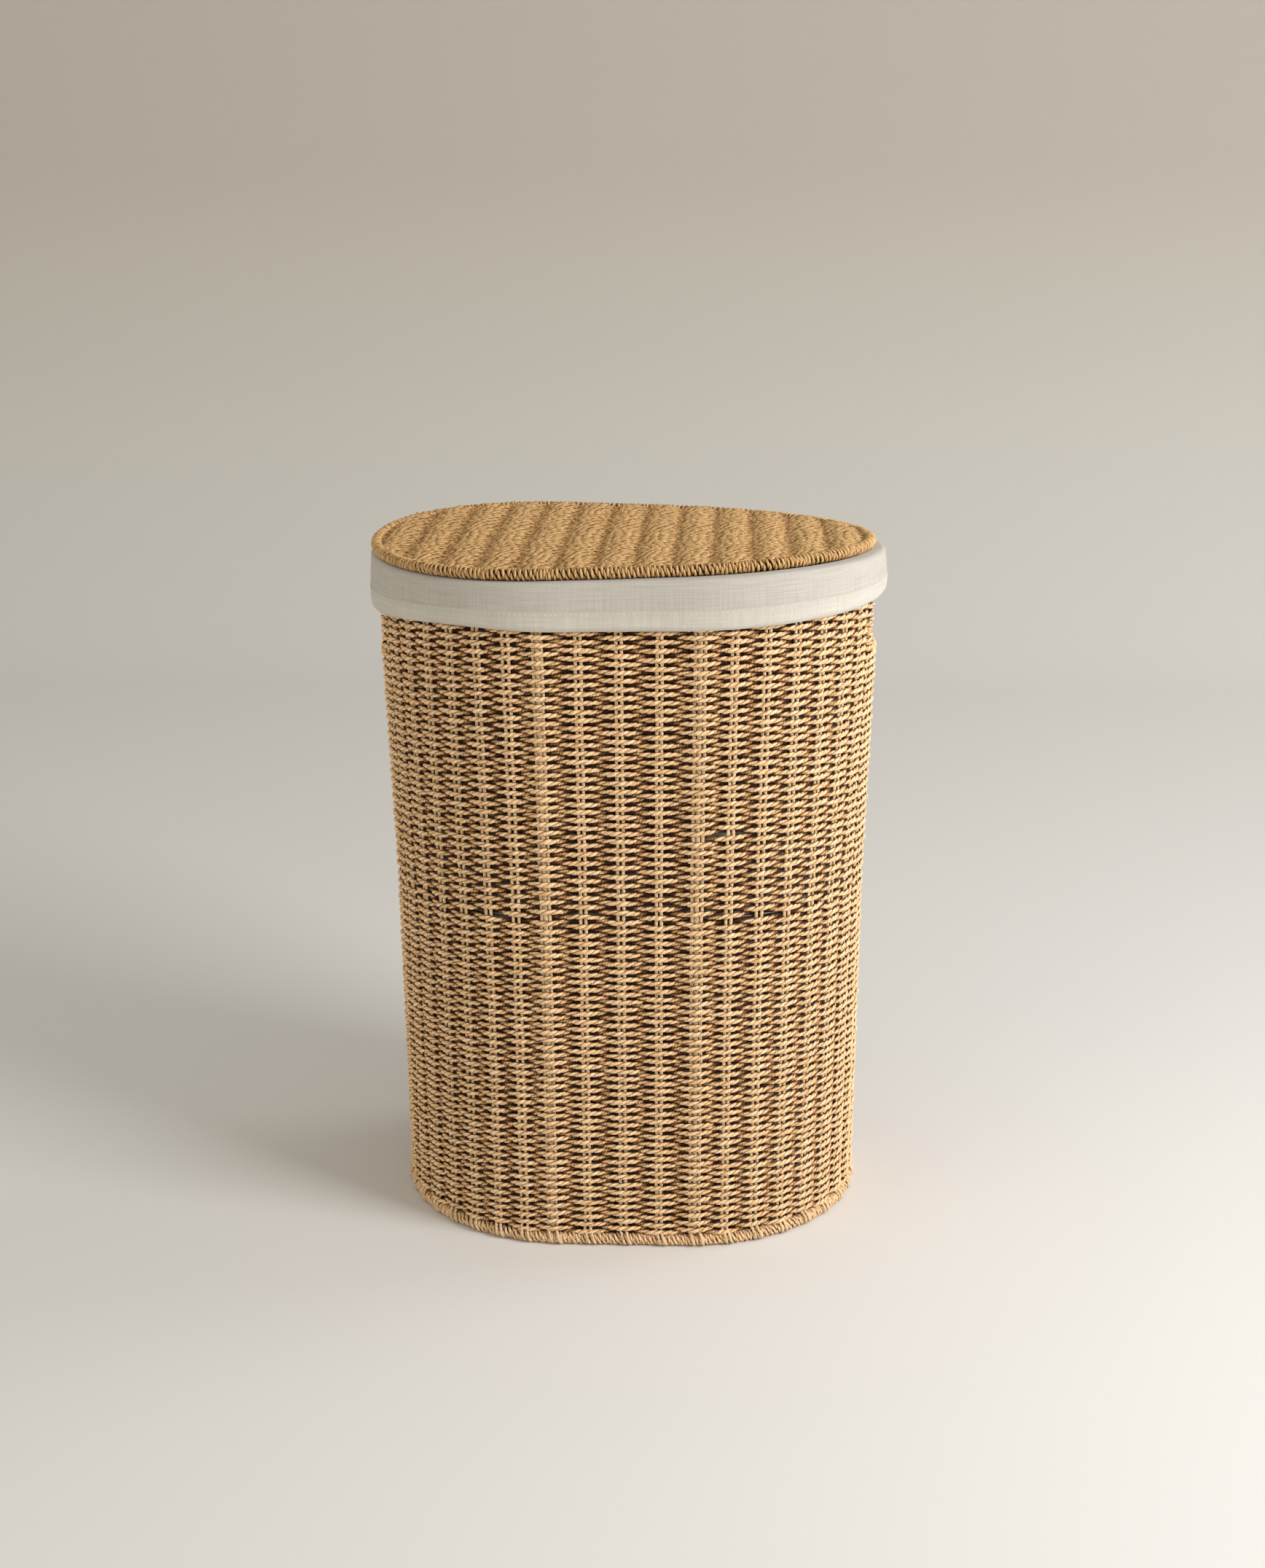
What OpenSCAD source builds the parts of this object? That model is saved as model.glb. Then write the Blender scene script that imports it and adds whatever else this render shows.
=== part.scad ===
// Oval laundry basket woven from twisted paper rope, with a lift-out cloth liner and a loose woven lid.
// X runs along the basket's length, Y across it and Z up. The basket stands on z = 0.
// Every outline is a straight-sided oval: two half circles joined by two straight runs. A part is
// placed by its radius, which is the distance from the oval's spine to the part's own middle.

/* [Basket] */
// Length of each straight run between the round ends
straight_l = 104; // [90:2:120]
// Radius of the rim ring
rim_r = 164; // [158:1:170]
// Radius of the wall at the middle hoop
hoop_r = 154.5; // [152:0.5:156]
// Radius of the base ring
base_r = 151; // [148:0.5:152]
// Height of the rim ring's middle above the floor
rim_z = 587.5; // [540:0.5:620]
// Height of the middle hoop above the floor
hoop_z = 305; // [260:1:340]
// Diameter of the rope-wrapped rim and base rings
ring_d = 12; // [10:0.5:13]
// Diameter of the steel wire inside the rings
wire_d = 4; // [3:0.5:5]
// Thickness of the rope that passes on each side of the stakes
rope_t = 2.5; // [2:0.1:3]
// Diameter of the paper cord bundles that stand in the wall
stake_d = 4.4; // [3.6:0.1:5]

/* [Stakes] */
// Gaps between stakes on each long side, from one corner post to the next
side_gaps = 4; // [3:1:5]
// Gaps between stakes round the right end
right_gaps = 17; // [15:1:19]
// Gaps between stakes round the left end
left_gaps = 18; // [15:1:20]
// Share of the way round between a side's middle and its corner posts
post_share = 0.054; // [0.045:0.001:0.06]

/* [Hand holes] */
// Width of each hand hole
hole_w = 88; // [80:1:89]
// Height of each hand hole
hole_h = 56; // [50:1:62]
// Height of the hand holes' lower edge above the floor
hole_z = 513; // [505:1:518]
// Width of the rope binding round each hole
binding_w = 5; // [4:0.5:6]

/* [Liner] */
// Thickness of the cloth
cloth_t = 0.8; // [0.6:0.1:1.2]
// Height of the turned-down cuff
cuff_h = 37; // [30:1:45]
// Height of the hem at the cuff's lower edge
hem_h = 15; // [10:1:20]

/* [Lid] */
// Radius of the lid's ring
lid_r = 162.5; // [160:0.5:163.5]
// Diameter of the lid's rope-wrapped ring
lid_ring_d = 11; // [9:0.5:12]
// Distance between the wires across the lid
lid_wire_gap = 32; // [28:1:40]
// How far the lid lies off centre, towards the left
lid_shift = 4; // [0:0.5:5]

/* [Hidden] */
$fn = 96;
slip = 0.1;
clearance = 0.5;
flat_cut = 0.3;
spine = straight_l / 2;
ring_rad = ring_d / 2;
ring_z = ring_rad - flat_cut;
gap_rad = stake_d / 2 + slip;
wall_rad = gap_rad + rope_t;
wall_z0 = ring_z + ring_rad + slip;
wall_z1 = rim_z - ring_rad - slip;
hoop_d = 3;
hoop_gap = 2;
tie_extra = 0.6;
post_d = 4;
cross_d = 3;
base_z = 6.4;
base_gap = 34;
hole_r = 14;
liner_gap = 8.2;
cuff_gap = 1.2;
cuff_r = rim_r + ring_rad + cuff_gap;
cuff_top = rim_z + ring_rad + clearance;
cuff_z = cuff_top - cuff_h;
hem_t = 0.9;
thread_d = 0.5;
seam_d = 2.4;
seam_w = 8;
seam_t = 1;
liner_z = base_z + wall_rad + clearance;
lid_z = cuff_top + cloth_t + clearance + lid_ring_d / 2;
seam_off = -liner_gap - cloth_t - slip - seam_t;
lid_rope_t = 2.4;
lid_cross_rad = cross_d / 2 + slip;

paper = "burlywood";
steel = "dimgray";
linen = "floralwhite";

// Radius of the wall's middle at a height: one slope below the hoop and a steeper one above it.
function wall_r(z) = z < hoop_z
    ? base_r + (hoop_r - base_r) * (z - ring_z) / (hoop_z - ring_z)
    : hoop_r + (rim_r - hoop_r) * (z - hoop_z) / (rim_z - hoop_z);

// Distance round a quarter of an oval, from the middle of its front to its right end.
function quarter(r) = spine + r * PI / 2;

// Point and outward angle on an oval, a distance s to the right of the middle of its front.
function side_point(s, r) = s < spine
    ? [s, -r, -90]
    : let (turn = (s - spine) / r * 180 / PI)
      [spine + r * sin(turn), -r * cos(turn), turn - 90];

// The same for any share of the way round, counted to the right from the middle of the front.
function oval_point(share, r) =
    let (s = share * 4 * quarter(r))
    share <= 0.25 ? side_point(s, r)
    : share <= 0.5 ? let (p = side_point(2 * quarter(r) - s, r)) [p[0], -p[1], -p[2]]
    : let (p = oval_point(1 - share, r)) [-p[0], p[1], 180 - p[2]];

// Shares at which the stakes stand, with the corner posts at the ends of each long side.
side_step = 2 * post_share / side_gaps;
end_span = 0.5 - 2 * post_share;
front_shares = [for (i = [1:side_gaps - 1]) (1 - post_share + i * side_step) % 1];
back_shares = [for (i = [1:side_gaps - 1]) 0.5 - post_share + i * side_step];
right_shares = [for (i = [1:right_gaps - 1]) post_share + i * end_span / right_gaps];
left_shares = [for (i = [1:left_gaps - 1]) 0.5 + post_share + i * end_span / left_gaps];
stake_shares = concat(front_shares, right_shares, back_shares, left_shares);
post_shares = [post_share, 0.5 - post_share, 0.5 + post_share, 1 - post_share];

// Sweeps a profile, drawn as radius and height, all the way round the oval.
module round_oval() {
    for (turn = [0, 180])
        rotate([0, 0, turn]) {
            translate([spine, 0, 0])
                rotate([0, 0, -90])
                    rotate_extrude(angle = 180) children();
            translate([-spine, 0, 0])
                rotate([90, 0, 90])
                    linear_extrude(straight_l) children();
        }
}

// A round wire or thread laid all the way round at a radius and height.
module ring(r, z, d) {
    round_oval()
        translate([r, z])
            circle(d = d);
}

// Rope wrapped round a wire: a thick ring with the wire's space left open inside. What would reach
// below the low height is cut off flat, which is what the base ring stands on.
module wrap(r, z, d, low = -1000) {
    round_oval()
        difference() {
            intersection() {
                translate([r, z])
                    circle(d = d);
                translate([0, low])
                    square([r + d, z + d - low]);
            }
            translate([r, z])
                circle(d = wire_d + slip);
        }
}

// Wall-following band between two heights, at a distance from the wall's middle and a thickness.
module wall_band(z0, z1, off, t) {
    round_oval()
        polygon([
            [wall_r(z0) + off, z0],
            [wall_r(z0) + off + t, z0],
            [wall_r(z1) + off + t, z1],
            [wall_r(z1) + off, z1]
        ]);
}

// The two layers of rope that pass outside and inside the stakes.
module rope_layers(z0, z1) {
    wall_band(z0, z1, gap_rad, rope_t);
    wall_band(z0, z1, -wall_rad, rope_t);
}

// Straight rod between two points.
module rod(from, to, d) {
    run = to - from;
    flat = norm([run[0], run[1]]);
    translate(from)
        rotate([0, atan2(flat, run[2]), atan2(run[1], run[0])])
            cylinder(h = norm(run), d = d, $fn = 24);
}

// Point in the middle of the wall at one share of the way round and one height.
function wall_point(share, z) =
    let (p = oval_point(share, wall_r(z)))
    [p[0], p[1], z];

// A stake that follows the wall from the base ring to the rim at one share of the way round. It
// bends at the hoop, where a small knot or weld ties it, and it is left out across a hand hole.
module stake(share, d) {
    hole_low = hole_z - binding_w - slip;
    hole_high = hole_z + hole_h + binding_w + slip;
    in_hole = abs(wall_point(share, hole_z)[1]) < hole_w / 2 + binding_w;
    tie = wall_point(share, hoop_z);
    top = wall_point(share, wall_z1 - slip);
    rod(wall_point(share, wall_z0 + slip), tie, d);
    translate(tie)
        sphere(d = d + tie_extra, $fn = 32);
    if (in_hole) {
        rod(tie, wall_point(share, hole_low), d);
        rod(wall_point(share, hole_high), top, d);
    } else {
        rod(tie, top, d);
    }
}

// Window with round corners, through the wall at the right end.
module hole_window(grow) {
    w = hole_w + 2 * grow;
    h = hole_h + 2 * grow;
    r = hole_r + grow;
    translate([spine + hoop_r - wall_rad * 2, 0, hole_z + hole_h / 2])
        rotate([90, 0, 90])
            linear_extrude(wall_rad * 6) {
                square([w - 2 * r, h], center = true);
                square([w, h - 2 * r], center = true);
                for (x = [-1, 1], y = [-1, 1])
                    translate([x * (w / 2 - r), y * (h / 2 - r)])
                        circle(r = r);
            }
}

module both_windows(grow) {
    hole_window(grow);
    mirror([1, 0, 0])
        hole_window(grow);
}

// Wires that run from front to back inside an oval, a steady distance apart.
module cross_wires(r, z, gap, d) {
    count = floor((spine + r - gap / 3) / gap);
    for (i = [-count:count]) {
        x = i * gap;
        past = max(abs(x) + d / 2 - spine, 0);
        half = sqrt(r * r - past * past);
        rod([x, -half, z], [x, half, z], d);
    }
}

// Flat woven panel: a layer of rope above the cross wires and one below them.
module woven_panel(r, z, half_gap, t) {
    round_oval()
        translate([0, z + half_gap])
            square([r, t]);
    round_oval()
        translate([0, z - half_gap - t])
            square([r, t]);
}

module base_ring_wire() {
    color(steel) ring(base_r, ring_z, wire_d);
}

module base_ring_wrap() {
    color(paper) wrap(base_r, ring_z, ring_d, 0);
}

module base_cross_wires() {
    color(steel) cross_wires(base_r - ring_rad - clearance, base_z, base_gap, cross_d);
}

module base_weave() {
    color(paper) woven_panel(base_r - ring_rad - slip, base_z, cross_d / 2 + slip, rope_t);
}

module corner_posts() {
    color(steel)
        for (share = post_shares)
            stake(share, post_d);
}

module stake_cords() {
    color(paper)
        for (share = stake_shares)
            stake(share, stake_d);
}

module mid_hoop_wire() {
    color(steel) ring(hoop_r - gap_rad - hoop_d / 2 - tie_extra / 2, hoop_z, hoop_d);
}

module wall_weave_lower() {
    color(paper) rope_layers(wall_z0, hoop_z - hoop_gap);
}

module wall_weave_upper() {
    color(paper)
        difference() {
            rope_layers(hoop_z + hoop_gap, wall_z1);
            both_windows(binding_w);
        }
}

module hand_hole_binding_right() {
    color(paper)
        intersection() {
            difference() {
                hole_window(binding_w - slip);
                hole_window(0);
            }
            wall_band(hole_z - 2 * binding_w, wall_z1, -wall_rad, 2 * wall_rad);
        }
}

module hand_hole_binding_left() {
    mirror([1, 0, 0]) hand_hole_binding_right();
}

module rim_wire() {
    color(steel) ring(rim_r, rim_z, wire_d);
}

module rim_wrap() {
    color(paper) wrap(rim_r, rim_z, ring_d);
}

module liner_bottom() {
    color(linen)
        round_oval()
            translate([0, liner_z])
                square([wall_r(liner_z) - liner_gap - cloth_t - slip, cloth_t]);
}

module liner_bottom_seam() {
    seam_r = wall_r(liner_z) - liner_gap - cloth_t - seam_d / 2 - slip;
    color(linen) ring(seam_r, liner_z + cloth_t + seam_d / 2 + slip, seam_d);
}

module liner_side() {
    color(linen) {
        wall_band(liner_z, hoop_z, -liner_gap - cloth_t, cloth_t);
        wall_band(hoop_z, cuff_top - slip, -liner_gap - cloth_t, cloth_t);
    }
}

module liner_side_seam() {
    color(linen)
        intersection() {
            union() {
                wall_band(liner_z + 2 * seam_d, hoop_z, seam_off, seam_t);
                wall_band(hoop_z, cuff_top - seam_d, seam_off, seam_t);
            }
            translate([-seam_w / 2, 0, 0])
                cube([seam_w, rim_r, cuff_top]);
        }
}

module liner_rim_fold() {
    fold_in = wall_r(cuff_top) - liner_gap - cloth_t;
    color(linen)
        round_oval()
            translate([fold_in, cuff_top])
                square([cuff_r + cloth_t - fold_in, cloth_t]);
}

module liner_cuff() {
    color(linen)
        round_oval()
            translate([cuff_r, cuff_z])
                square([cloth_t, cuff_top - cuff_z - slip]);
}

module cuff_hem() {
    color(linen)
        round_oval()
            translate([cuff_r + cloth_t + slip, cuff_z])
                square([hem_t, hem_h]);
}

module hem_stitching() {
    thread_r = cuff_r + cloth_t + 2 * slip + hem_t + thread_d / 2;
    color(linen) ring(thread_r, cuff_z + hem_h - 1.5, thread_d);
}

module on_rim() {
    translate([-lid_shift, 0, 0]) children();
}

module lid_ring_wire() {
    color(steel) on_rim() ring(lid_r, lid_z, wire_d);
}

module lid_ring_wrap() {
    color(paper) on_rim() wrap(lid_r, lid_z, lid_ring_d);
}

module lid_cross_wires() {
    color(steel) on_rim() cross_wires(lid_r - lid_ring_d / 2 - clearance, lid_z, lid_wire_gap, cross_d);
}

module lid_weave() {
    color(paper) on_rim() woven_panel(lid_r - lid_ring_d / 2 - slip, lid_z, lid_cross_rad, lid_rope_t);
}

base_ring_wire();
base_ring_wrap();
base_cross_wires();
base_weave();
corner_posts();
stake_cords();
mid_hoop_wire();
wall_weave_lower();
wall_weave_upper();
hand_hole_binding_right();
hand_hole_binding_left();
rim_wire();
rim_wrap();
liner_bottom();
liner_bottom_seam();
liner_side();
liner_side_seam();
liner_rim_fold();
liner_cuff();
cuff_hem();
hem_stitching();
lid_ring_wire();
lid_ring_wrap();
lid_cross_wires();
lid_weave();
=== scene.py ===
import math

import bpy
import numpy as np
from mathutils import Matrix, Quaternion, Vector


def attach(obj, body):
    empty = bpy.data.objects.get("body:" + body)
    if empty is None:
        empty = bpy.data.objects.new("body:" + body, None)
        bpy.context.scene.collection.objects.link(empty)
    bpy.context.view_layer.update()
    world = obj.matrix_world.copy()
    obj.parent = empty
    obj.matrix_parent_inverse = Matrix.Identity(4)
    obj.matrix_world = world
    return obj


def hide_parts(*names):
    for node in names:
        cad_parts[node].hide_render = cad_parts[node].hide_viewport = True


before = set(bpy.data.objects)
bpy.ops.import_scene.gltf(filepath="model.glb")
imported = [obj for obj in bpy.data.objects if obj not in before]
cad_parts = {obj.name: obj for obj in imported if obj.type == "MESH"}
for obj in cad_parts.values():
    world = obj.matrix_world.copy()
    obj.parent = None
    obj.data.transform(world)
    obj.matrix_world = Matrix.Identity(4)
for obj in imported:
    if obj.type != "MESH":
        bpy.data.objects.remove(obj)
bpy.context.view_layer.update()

# The camera stands in front at chest height, a step to the right, and looks down on the lid a little.
# It is level but for a third of a degree.
CAMERA_PLACE, CAMERA_AIM, CAMERA_ROLL = (0.09319, -1.86952, 0.92591), (0, 0, 0.37937), -0.326
camera_data = bpy.data.cameras.new("camera")
camera_data.sensor_width = 36.0
camera_data.lens = 49.66
camera_data.shift_x = 0.00203
camera = bpy.data.objects.new("camera", camera_data)
camera.location = CAMERA_PLACE
looking = Vector(CAMERA_AIM) - camera.location
camera.rotation_mode = "QUATERNION"
roll = Quaternion((0, 0, 1), math.radians(CAMERA_ROLL))
camera.rotation_quaternion = looking.to_track_quat("-Z", "Y") @ roll
bpy.context.scene.collection.objects.link(camera)
bpy.context.scene.camera = camera
bpy.context.scene.view_settings.view_transform = "Standard"


# A seamless sheet of pale painted board: flat floor in front, one long curve, then an upright back.
# It is the studio, and not part of the basket; painted shade darkens its colour towards the top of the back.
def add_node(tree, kind, values=None, **settings):
    """Adds a node; values fill its sockets, and a value that is a socket is linked to it."""
    made = tree.nodes.new(kind)
    for key, value in settings.items():
        setattr(made, key, value)
    for key, value in (values or {}).items():
        if isinstance(value, bpy.types.NodeSocket):
            tree.links.new(value, made.inputs[key])
        else:
            made.inputs[key].default_value = value
    return made


def new_material(name):
    """An empty material with a Principled shader on its output; returns both and the tree."""
    material = bpy.data.materials.new(name)
    material.use_nodes = True
    tree = material.node_tree
    tree.nodes.clear()
    shader = add_node(tree, "ShaderNodeBsdfPrincipled")
    output = add_node(tree, "ShaderNodeOutputMaterial")
    tree.links.new(shader.outputs["BSDF"], output.inputs["Surface"])
    return material, tree, shader


def mix_colours(tree, factor, first, second, **settings):
    """The socket of a mix of two colours, each an RGB triple or a socket, by a factor socket."""
    values = {"Factor": factor}
    for key, colour in (("A", first), ("B", second)):
        values[key] = colour if isinstance(colour, bpy.types.NodeSocket) else (*colour, 1)
    return add_node(tree, "ShaderNodeMix", values, data_type="RGBA", **settings).outputs["Result"]


def spread(tree, value, low, high, to_low=0.0, to_high=1.0, **settings):
    """The socket of a value stretched from one range to another and held inside it."""
    values = {"Value": value, "From Min": low, "From Max": high, "To Min": to_low, "To Max": to_high}
    return add_node(tree, "ShaderNodeMapRange", values, **settings).outputs[0]


def calculate(tree, operation, *values):
    """The socket of one sum on numbers or sockets."""
    return add_node(tree, "ShaderNodeMath", dict(enumerate(values)), operation=operation).outputs[0]


def add_mesh(name, points, faces, material, uvs=None, uv_name="surface", relief=None):
    """A smooth-shaded mesh object from arrays of points and of equal-sized faces or lists of them. UVs
    are given by face corner, and relief, a second UV layer, by point."""
    mesh = bpy.data.meshes.new(name)
    points = np.asarray(points, np.float32).reshape(-1, 3)
    groups = [np.asarray(f, np.int32) for f in (faces if isinstance(faces, list) else [faces]) if len(f)]
    sizes = np.concatenate([np.full(len(g), g.shape[1], np.int32) for g in groups])
    loops = np.concatenate([g.ravel() for g in groups])
    mesh.vertices.add(len(points))
    mesh.vertices.foreach_set("co", points.ravel())
    mesh.loops.add(len(loops))
    mesh.loops.foreach_set("vertex_index", loops)
    mesh.polygons.add(len(sizes))
    starts = np.concatenate([[0], np.cumsum(sizes)[:-1]]).astype(np.int32)
    mesh.polygons.foreach_set("loop_start", starts)
    mesh.polygons.foreach_set("use_smooth", np.ones(len(sizes), bool))
    mesh.update(calc_edges=True)
    if uvs is not None:
        layer = mesh.uv_layers.new(name=uv_name)
        layer.data.foreach_set("uv", np.asarray(uvs, np.float32).ravel())
    if relief is not None:
        layer = mesh.uv_layers.new(name="relief")
        layer.data.foreach_set("uv", np.asarray(relief, np.float32)[loops].ravel())
    mesh.validate()
    made = bpy.data.objects.new(name, mesh)
    bpy.context.scene.collection.objects.link(made)
    made.data.materials.append(material)
    return made


def grid_faces(rows, columns, wrap=False):
    """Quads of a grid of points, rows by columns; with wrap, the last column joins the first."""
    across = columns if wrap else columns - 1
    i, k = np.meshgrid(np.arange(rows - 1), np.arange(across), indexing="ij")
    i, k, after = i.ravel(), k.ravel(), (k.ravel() + 1) % columns
    corners = [i * columns + k, i * columns + after, (i + 1) * columns + after, (i + 1) * columns + k]
    return np.stack(corners, 1)


BOARD_HALF, BOARD_TOP, FLAT_FROM, COVE_START, COVE_RADIUS = 6.0, 6.0, -2.0, 1.9, 1.1
floor_paint, tree, shader = new_material("studio board")
mottle = add_node(tree, "ShaderNodeTexNoise", {"Scale": 3.0, "Detail": 3.0})
board = mix_colours(tree, mottle.outputs["Fac"], (0.745, 0.738, 0.727), (0.765, 0.757, 0.745))
where = add_node(tree, "ShaderNodeTexCoord")
apart = add_node(tree, "ShaderNodeSeparateXYZ", {"Vector": where.outputs["Object"]})
# Painted shade: the board's colour darkens with height, for the light that falls off up the back.
raised = calculate(tree, "POWER", spread(tree, apart.outputs["Z"], 0.0, 0.9), 0.6)
board_with_painted_shade = mix_colours(tree, raised, board, (0.52, 0.49, 0.44))
tree.links.new(board_with_painted_shade, shader.inputs["Base Color"])
shader.inputs["Roughness"].default_value = 0.9
shader.inputs["Specular IOR Level"].default_value = 0.15

bend = np.linspace(0, math.pi / 2, 33)
profile = np.concatenate([
    [(-BOARD_HALF, 0.0), (FLAT_FROM, 0.0)],
    np.stack([COVE_START + COVE_RADIUS * np.sin(bend), COVE_RADIUS * (1 - np.cos(bend))], 1),
    [(COVE_START + COVE_RADIUS, BOARD_TOP)],
])
points = np.array([[(x, y, z) for x in (-BOARD_HALF, 0.0, BOARD_HALF)] for y, z in profile])
floor = add_mesh("studio_floor", points, grid_faces(len(profile), 3), floor_paint)

# Light: one big soft source from the right, a little in front and about as high as a window, a warm
# weak one from the left, a third on the board behind, and a warm dim room all round.
room = bpy.data.worlds.new("room")
room.use_nodes = True
sky = room.node_tree
place = add_node(sky, "ShaderNodeTexCoord")
way = add_node(sky, "ShaderNodeSeparateXYZ", {"Vector": place.outputs["Generated"]})
height = spread(sky, way.outputs["Z"], 0.05, 0.9)
glow = mix_colours(sky, height, (0.80, 0.765, 0.69), (0.38, 0.368, 0.337))
sky.links.new(glow, sky.nodes["Background"].inputs["Color"])
bpy.context.scene.world = room
for name, place, aim, size, power, colour in (
    ("window", (2.10, -1.15, 1.45), (0.0, 0.1, 0.25), (1.1, 1.2), 60.0, (1.0, 0.995, 0.985)),
    ("left_fill", (-2.6, -2.2, 1.1), (0.0, 0.0, 0.35), (2.0, 1.6), 17.0, (1.0, 0.92, 0.74)),
    ("side_glow", (4.6, 1.9, 2.2), (1.2, 2.0, 0.0), (2.4, 2.4), 66.0, (1.0, 1.0, 1.0)),
):
    data = bpy.data.lights.new(name, "AREA")
    data.shape = "RECTANGLE"
    data.size, data.size_y = size
    data.energy = power
    data.color = colour
    lamp = bpy.data.objects.new(name, data)
    lamp.location = place
    lamp.rotation_mode = "QUATERNION"
    lamp.rotation_quaternion = (Vector(aim) - Vector(place)).to_track_quat("-Z", "Y")
    bpy.context.scene.collection.objects.link(lamp)


# Wall, below and above the middle hoop: one twisted paper rope woven over and under the stakes, row
# on row, 156 rows. Each rope is two plies of rolled kraft paper with a left-hand lay. The rows step
# up to the next at the middle of the back, and stop at the hand holes.
SPINE = 0.052
BASE_R, HOOP_R, RIM_R = 0.151, 0.1545, 0.164
RING_Z, HOOP_Z, RIM_Z = 0.0057, 0.305, 0.5875
SIDE_GAPS, RIGHT_GAPS, LEFT_GAPS, POST_SHARE = 4, 17, 18, 0.054
POSTS = (POST_SHARE, 0.5 - POST_SHARE, 0.5 + POST_SHARE, 1 - POST_SHARE)
PLY_R, LAY_R, LAY_PITCH = 0.00206, 0.00066, 0.0150
WEAVE_DEPTH, WEAVE_INSET = 0.0028, 0.0004
HOLE_HALF, HOLE_LOW, HOLE_HIGH, HOLE_CORNER = 0.0465, 0.5105, 0.5715, 0.0165
ENDS_FROM = 0.15
RELIEF_DEPTH = 0.006


def wall_radius(z):
    """Radius of the wall's middle at a height: one slope below the hoop, a steeper one above it."""
    low = BASE_R + (HOOP_R - BASE_R) * (z - RING_Z) / (HOOP_Z - RING_Z)
    high = HOOP_R + (RIM_R - HOOP_R) * (z - HOOP_Z) / (RIM_Z - HOOP_Z)
    return np.where(z < HOOP_Z, low, high)


def oval(share, radius):
    """Point and outward direction on the straight-sided oval, by share of the way round from the
    middle of the front towards the right."""
    share = np.asarray(share, float) % 1.0
    right = np.where(share > 0.5, 1 - share, share)
    back = right > 0.25
    quarter = SPINE + radius * math.pi / 2
    s = 4 * quarter * np.where(back, 0.5 - right, right)
    turn = np.maximum(s - SPINE, 0) / radius
    x = np.minimum(s, SPINE) + radius * np.sin(turn)
    y = -radius * np.cos(turn)
    side = np.where(share > 0.5, -1.0, 1.0)
    face = np.where(back, -1.0, 1.0)
    return x * side, y * face, np.sin(turn) * side, -np.cos(turn) * face


def smooth_noise(t, speeds, seed):
    """A smooth wandering value from about -1 to 1 along t."""
    phases = np.random.default_rng(seed).uniform(0, 2 * math.pi, len(speeds))
    waves = sum(np.sin(2 * math.pi * f * t + p) for f, p in zip(speeds, phases))
    return waves / math.sqrt(len(speeds) * 2)


def gone_along(line):
    """How far along a line of points each one lies, from its start."""
    return np.concatenate([[0], np.cumsum(np.linalg.norm(np.diff(line, axis=0), axis=1))])


def unit(vectors):
    return vectors / np.linalg.norm(vectors, axis=1)[:, None]


stake_shares = np.concatenate([
    np.linspace(0, POST_SHARE, SIDE_GAPS // 2, endpoint=False),
    POST_SHARE + np.arange(RIGHT_GAPS) * (0.5 - 2 * POST_SHARE) / RIGHT_GAPS,
    0.5 - POST_SHARE + np.arange(SIDE_GAPS) * 2 * POST_SHARE / SIDE_GAPS,
    0.5 + POST_SHARE + np.arange(LEFT_GAPS) * (0.5 - 2 * POST_SHARE) / LEFT_GAPS,
    1 - POST_SHARE + np.arange(SIDE_GAPS // 2) * 2 * POST_SHARE / SIDE_GAPS,
])
stake_count = len(stake_shares)


def tube_rings(centre, across, upward, radius, sides, start=0.0):
    """Rings of points round a line: centre (n, 3), two directions across it, and its radius."""
    angle = start + 2 * math.pi * np.arange(sides) / sides
    return centre[:, None] + radius[:, :, None] * (
        np.cos(angle)[None, :, None] * across[:, None] + np.sin(angle)[None, :, None] * upward[:, None]
    )


def tube_parts(rings, length, number, keep=None):
    """Faces and UVs of a tube: U is the length along it in metres and V the turn round it, with a
    whole number added so that each tube has its own creases. Runs of kept rings get end caps."""
    count, sides = rings.shape[:2]
    keep = np.ones(count, bool) if keep is None else keep
    quads = grid_faces(count, sides, wrap=True)
    shown = np.repeat(keep[:-1] & keep[1:], sides)
    i, k = np.divmod(np.arange((count - 1) * sides), sides)
    u = np.stack([length[i], length[i], length[i + 1], length[i + 1]], 1)
    v = np.stack([k, k + 1, k + 1, k], 1) / sides + number
    uv = np.stack([u, v], 2)[shown]
    edge = np.diff(np.concatenate([[False], keep, [False]]).astype(int))
    firsts, lasts = np.flatnonzero(edge == 1), np.flatnonzero(edge == -1) - 1
    real = lasts > firsts
    ring = np.arange(sides)
    caps = np.concatenate([firsts[real, None] * sides + ring[::-1], lasts[real, None] * sides + ring])
    cap_u = np.repeat(length[caps[:, :1] // sides], sides, 1)
    cap_uv = np.stack([cap_u, np.full(caps.shape, number + 0.5)], 2)
    return quads[shown], uv, caps, cap_uv


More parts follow.
